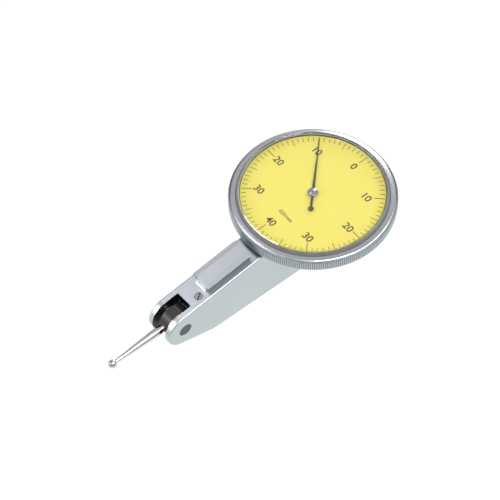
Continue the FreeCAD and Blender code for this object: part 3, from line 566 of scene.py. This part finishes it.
def knurledBezel(look):
    # r(s, a) = r(s) - depth * tooth(a) * share(s), where tooth is a rounded saw and share fades at both ends
    rimIn, rimDown = look["rimEdge"]
    bandOut, bandDown = look["bandEdge"]
    bandLow = look["crest"] - look["bandFall"]
    profile = [
        (look["bore"], look["low"]),
        (look["outer"] - look["footBevel"], look["low"]),
        (look["outer"], look["low"] + look["footBevel"]),
        (look["outer"], look["rimTop"] - rimDown),
        (look["outer"] - rimIn, look["rimTop"]),
        (look["bandOuter"] + bandOut, bandLow - bandDown),
        (look["bandOuter"], bandLow),
        (look["crystalBore"] + look["crestEdge"], look["crest"]),
        (look["crystalBore"], look["crest"] - look["crestEdge"]),
        (look["crystalBore"], look["ledgeTop"]),
        (look["ledgeBore"], look["ledgeTop"]),
        (look["ledgeBore"], look["ledgeLow"]),
        (look["bore"], look["ledgeLow"]),
    ]
    r, z = rounded(profile, look["rounding"]).T
    columns = look["teeth"] * look["perTooth"]
    angle = np.linspace(0, 2 * np.pi, columns, endpoint=False)
    wave = 0.5 - 0.5 * np.cos(look["teeth"] * angle)
    groove = wave ** look["toothShape"] * look["toothDepth"]
    fadeFrom, fadeOver = look["toothFade"]
    share = np.clip((r - look["bandOuter"] - fadeFrom) / fadeOver, 0, 1)
    radius = r[:, None] - share[:, None] * groove[None]
    points = turnedPoints(radius, z, angle)
    faces = gridFaces(len(r), columns, True, True)
    ring = meshPiece("bezelKnurled", points, faces, bezelChrome(look), "bezel")
    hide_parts("bezel_ring")


def bezelChrome(look):
    # fine concentric turning grooves on the top band; painted shade darkens the grooves between the teeth of
    # the rim
    shader = Shader("turnedChrome")
    x, y, z = shader.parts(shader.stretched((1, 1, 1), (0, 0, 0), (-axis[0], 0, 0)))
    radius = (x * x + y * y).root()
    rings = shader.node("ShaderNodeCombineXYZ", None, {0: radius * look["turningScale"]})
    lines = shader.noise(rings, 1.0, 1.0)
    rim = radius > (look["bandOuter"] + look["grooveFrom"]) * mm
    # painted shade: darker the deeper a point lies between the teeth, on the rim wall below the band
    depth = (look["outer"] * mm - radius) / (look["toothDepth"] * mm)
    wall = z < (look["crest"] - look["bandFall"] - look["grooveShadeBelow"]) * mm + float(crownBase)
    groove = shader.node("ShaderNodeClamp", None, {0: depth}) * wall * rim
    cloud = shader.noise(shader.stretched((look["cloud"],) * 3), 1.0, 3.0)
    rimToneWithShade = shader.blend(groove, look["rimColor"], look["grooveShadeColor"])
    color = shader.blend(rim, look["bandColor"], rimToneWithShade)
    rough = look["bandRoughness"] + rim * look["rimRougher"] + cloud * look["cloudRougher"]
    normal = shader.bump(lines, look["turning"] * mm, 1.0)
    return shader.finish(shader.surface(color=color, metallic=1.0, roughness=rough, normal=normal))


knurledBezel(bezelLook)
print("bezel knurled")


# crystal

crystalLook = {
    "outer": 17.2, "inner": 16.6, "foot": 0.4, "shoulder": 0.9, "edge": 1.85, "topRadius": 16.75,
    "crown": 2.15, "thickness": 1.0, "bevel": 0.06, "bevelHeight": 0.06, "edgeRound": 0.12,
    "rounding": [0.02, 0.1, 0.02, 0.03, 0.15], "rings": 24, "columns": 320, "edgeRows": 4,
    "ior": 1.49, "straight": (0.97, 0.97, 0.97, 1),
    "edgeShadeColors": ((0.12, 0.12, 0.11), (0.20, 0.21, 0.22)), "edgeCloud": 600, "edgeRoughness": 0.3,
    "lining": (16.62, 17.14, 0.42, 0.80), "liningRound": 0.03, "liningCloud": 300,
    "liningReflectionColors": ((0.50, 0.51, 0.47), (0.66, 0.67, 0.63)), "liningMetal": 0.5, "liningRoughness": 0.35,
}


def clearCrystal(look):
    # a thick clear shell: rounded skirt profile, then a shallow dome over and under, closed at the axis
    under = look["edge"] - look["thickness"]
    skirt = rounded([
        (look["inner"] - look["bevel"], under),
        (look["inner"], under - look["bevelHeight"]),
        (look["inner"], look["foot"]),
        (look["outer"], look["foot"]),
        (look["outer"], look["shoulder"]),
        (look["topRadius"], look["edge"]),
    ], look["rounding"] + [look["edgeRound"]])
    skirt = skirt[2:]
    t = np.linspace(1, 0, look["rings"])
    topStart = skirt[-1]
    rise = look["crown"] - topStart[1]
    top = np.stack([topStart[0] * t, topStart[1] + rise * (1 - t ** 2)], -1)[1:]
    underStart = skirt[0]
    underCrown = look["crown"] - look["thickness"]
    underRise = underCrown - underStart[1]
    low = np.stack([underStart[0] * t, underStart[1] + underRise * (1 - t ** 2)], -1)[:0:-1]
    line = np.concatenate([low, skirt, top])
    columns = look["columns"]
    angle = np.linspace(0, 2 * np.pi, columns, endpoint=False)
    inside = line[1:-1]
    radius = np.repeat(inside[:, 0][:, None], columns, 1)
    grid = turnedPoints(radius, inside[:, 1], angle).reshape(-1, 3)
    poles = turnedPoints(np.zeros((2, 1)), line[[0, -1], 1], np.zeros(1)).reshape(-1, 3)
    points = np.concatenate([grid, poles])
    walls = gridFaces(len(inside), columns, False, True).tolist()
    step = np.arange(columns)
    after = (step + 1) % columns
    last = (len(inside) - 1) * columns
    lowFan = np.stack([np.full(columns, len(grid)), after, step], -1).tolist()
    topFan = np.stack([np.full(columns, len(grid) + 1), last + step, last + after], -1).tolist()
    data = bpy.data.meshes.new("crystalDome")
    data.from_pydata(points.tolist(), [], lowFan + walls + topFan)
    data.polygons.foreach_set("use_smooth", np.full(len(data.polygons), True))
    data.materials.append(clearAcrylic(look))
    data.materials.append(skirtShade(look))
    # painted shade and dark reflection: the skirt's outer wall and foot of the pressed-in edge are coloured
    # dark and opaque
    foot, edge = len(low) + 1, len(low) + len(skirt) - look["edgeRows"]
    row = np.repeat(np.arange(len(inside) - 1), columns) + 1
    fan = np.zeros(columns)
    side = np.concatenate([fan, (row >= foot) & (row < edge), fan]).astype(int)
    data.polygons.foreach_set("material_index", side)
    dome = bpy.data.objects.new("crystalDome", data)
    bpy.context.scene.collection.objects.link(dome)
    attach(dome, "bezel")
    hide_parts("crystal")


def clearAcrylic(look):
    # bends light for the eye, and lets lamp light straight through to the dial
    shader = Shader("clearAcrylic")
    rays = shader.node("ShaderNodeLightPath")
    outputs = rays.out.node.outputs
    lit = Sock(shader, outputs["Is Shadow Ray"]) + Sock(shader, outputs["Is Diffuse Ray"])
    glass = shader.surface(color=(1.0, 1.0, 1.0), roughness=0.0, transmission=1.0, ior=look["ior"])
    plain = shader.node("ShaderNodeBsdfTransparent", None, {"Color": look["straight"]})
    return shader.finish(shader.node("ShaderNodeMixShader", None, {0: lit, 1: glass, 2: plain}))


def skirtShade(look):
    # painted shade and dark reflection: an opaque dark grey in place of the clear crystal edge
    shader = Shader("paintedShadeCrystalEdge")
    cloud = shader.noise(shader.stretched((look["edgeCloud"],) * 3), 1.0, 2.0)
    tint = shader.blend(cloud, *look["edgeShadeColors"])
    return shader.finish(shader.surface(color=tint, roughness=look["edgeRoughness"]))


def crystalLining(look):
    # a pale ring inside the skirt, which the eye sees through the crystal between dial and bezel: a painted
    # reflection for the light band in the crystal's edge
    inner, outer, low, high = look["lining"]
    corners = [(inner, low), (outer, low), (outer, high), (inner, high)]
    profile = rounded(corners, look["liningRound"])
    ring = turnedPiece("crystalLining", profile, paleLining(look), "bezel")


def paleLining(look):
    # painted reflection: a pale colour for the light band seen in the crystal's edge
    shader = Shader("paleLining")
    cloud = shader.noise(shader.stretched((look["liningCloud"],) * 3), 1.0, 3.0)
    tint = shader.blend(cloud, *look["liningReflectionColors"])
    values = {"metallic": look["liningMetal"], "roughness": look["liningRoughness"]}
    return shader.finish(shader.surface(color=tint, **values))


clearCrystal(crystalLook)
crystalLining(crystalLook)
print("crystal set")
